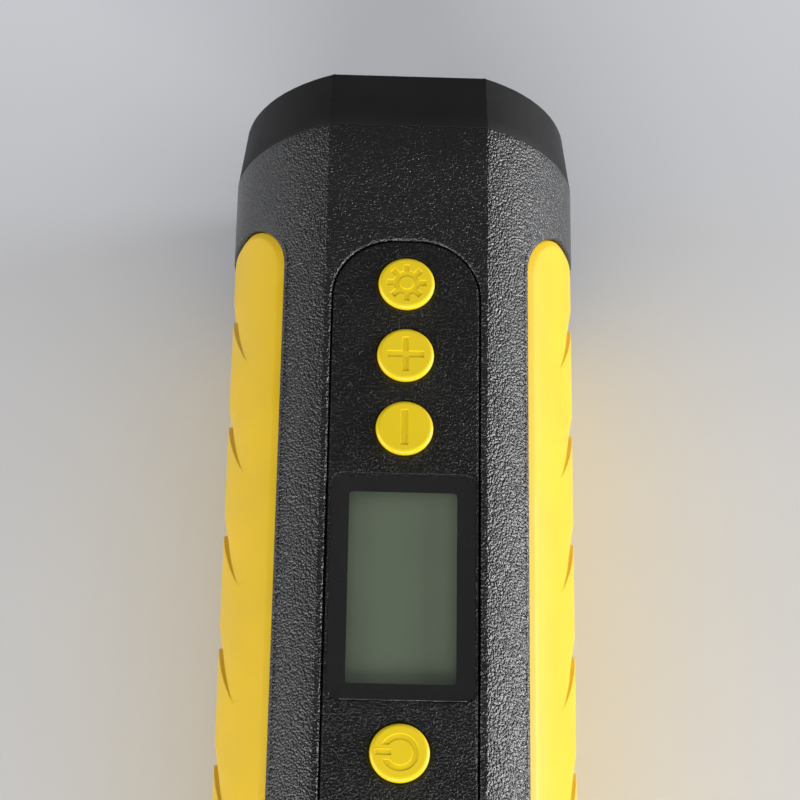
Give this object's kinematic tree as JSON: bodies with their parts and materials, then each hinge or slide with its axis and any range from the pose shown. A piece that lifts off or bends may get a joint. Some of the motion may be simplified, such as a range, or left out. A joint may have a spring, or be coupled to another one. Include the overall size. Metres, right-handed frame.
{
  "type": "cordless tyre inflator",
  "caption": "Hand-held cordless air pump with a flat-sided barrel, scalloped side grips, push buttons, display window, lamp and hose outlet.",
  "frame": {"origin": "on the surface that the rear flat rests on, under the middle of the length", "axes": "+X to the right of the display, +Y along the barrel towards the head cap with the lamp and the air outlet, +Z out of the display"},
  "size_m": [0.066, 0.226, 0.0596],
  "materials": {
    "housing": "spark-eroded grain, satin",
    "cap": "fine matte moulding",
    "grip": "satin moulding",
    "panel": "fine grain, satin",
    "window": "polished",
    "display": "polished",
    "white_plastic": "moulded",
    "button": "satin moulding",
    "black_plastic": "moulded",
    "steel": "plain",
    "circuit_board": "solder mask",
    "black_screw": "blackened",
    "lamp_window": "polished",
    "reflector": "metallised",
    "led": "encapsulated",
    "brass": "turned",
    "seal": "moulded",
    "tube": "extruded",
    "cast_alloy": "die cast",
    "bronze": "sintered",
    "gear_nylon": "moulded",
    "aluminium": "turned",
    "gasket": "sheet",
    "cup_seal": "moulded",
    "winding": "varnished",
    "cell_wrap": "shrink sleeve",
    "nickel": "plated strip",
    "cover_rubber": "moulded"
  },
  "bodies": {
    "root": {"front_shell": "housing", "rear_shell": "housing", "head_cap": "cap", "tail_cap": "cap", "left_grip": "grip", "right_grip": "grip", "control_panel": "panel", "window_lens": "window", "lcd_glass": "display", "lcd_frame": "white_plastic", "tact_switches": "steel", "main_board": "circuit_board", "board_screws": "steel", "shell_screws": "black_screw", "cap_screws": "black_screw", "lamp_lens": "lamp_window", "lamp_reflector": "reflector", "lamp_board": "white_plastic", "lamp_leds": "led", "outlet_fitting": "brass", "outlet_seal": "seal", "air_tube": "tube", "gearbox_frame": "cast_alloy", "frame_screws": "steel", "gear_bush": "bronze", "pump_cylinder": "aluminium", "head_gasket": "gasket", "cylinder_head": "cast_alloy", "head_screws": "steel", "valve_spring": "steel", "pressure_sensor": "black_plastic", "motor_can": "steel", "motor_endbell": "black_plastic", "motor_screws": "steel", "battery_cells": "cell_wrap", "cell_holders": "black_plastic", "cell_tabs": "nickel", "charge_board": "circuit_board", "charge_socket": "steel", "cover_pin": "steel"},
    "rotor": {"motor_rotor": "winding", "motor_pinion": "brass"},
    "crank": {"gear_shaft": "steel", "drive_gear": "gear_nylon", "crank_pin": "steel"},
    "piston_group": {"piston": "aluminium", "piston_cup": "cup_seal", "wrist_pin": "steel"},
    "rod": {"connecting_rod": "aluminium", "rod_bearing": "steel"},
    "poppet": {"valve_poppet": "steel"},
    "light_key": {"light_button": "button", "light_plunger": "black_plastic"},
    "plus_key": {"plus_button": "button", "plus_plunger": "black_plastic"},
    "minus_key": {"minus_button": "button", "minus_plunger": "black_plastic"},
    "power_key": {"power_button": "button", "power_plunger": "black_plastic"},
    "cover": {"port_cover": "cover_rubber"}
  },
  "joints": [
    {"name": "light_press", "type": "slide", "parent": "root", "child": "light_key", "axis": [0, 0, -1], "range_m": [0, 0.0008], "stiffness_N_per_m": 600, "springref_m": -0.001},
    {"name": "plus_press", "type": "slide", "parent": "root", "child": "plus_key", "axis": [0, 0, -1], "range_m": [0, 0.0008], "stiffness_N_per_m": 600, "springref_m": -0.001},
    {"name": "minus_press", "type": "slide", "parent": "root", "child": "minus_key", "axis": [0, 0, -1], "range_m": [0, 0.0008], "stiffness_N_per_m": 600, "springref_m": -0.001},
    {"name": "power_press", "type": "slide", "parent": "root", "child": "power_key", "axis": [0, 0, -1], "range_m": [0, 0.0008], "stiffness_N_per_m": 600, "springref_m": -0.001},
    {"name": "motor_spin", "type": "hinge", "parent": "root", "child": "rotor", "pos_m": [0, 0.02, 0.02947], "axis": [0, 1, 0], "continuous": true},
    {"name": "crank_spin", "type": "hinge", "parent": "root", "child": "crank", "pos_m": [-0.0135, 0.054, 0.02947], "axis": [0, 1, 0], "continuous": true},
    {"name": "piston_stroke", "type": "slide", "parent": "root", "child": "piston_group", "axis": [-1, 0, 0], "range_m": [0, 0.01]},
    {"name": "rod_swing", "type": "hinge", "parent": "piston_group", "child": "rod", "pos_m": [0.0135, 0.0664, 0.02947], "axis": [0, 1, 0], "range_deg": [-13.2, 13.2]},
    {"name": "valve_lift", "type": "slide", "parent": "root", "child": "poppet", "axis": [0, 0, 1], "range_m": [0, 0.0012], "stiffness_N_per_m": 150, "springref_m": -0.002, "deforming": ["valve_spring"]},
    {"name": "cover_hinge", "type": "hinge", "parent": "root", "child": "cover", "pos_m": [0, -0.11185, 0.03567], "axis": [-1, 0, 0], "range_deg": [0, 90]}
  ],
  "couplings": [
    {"joint": "crank_spin", "follows": "motor_spin", "ratio": -0.28571}
  ]
}
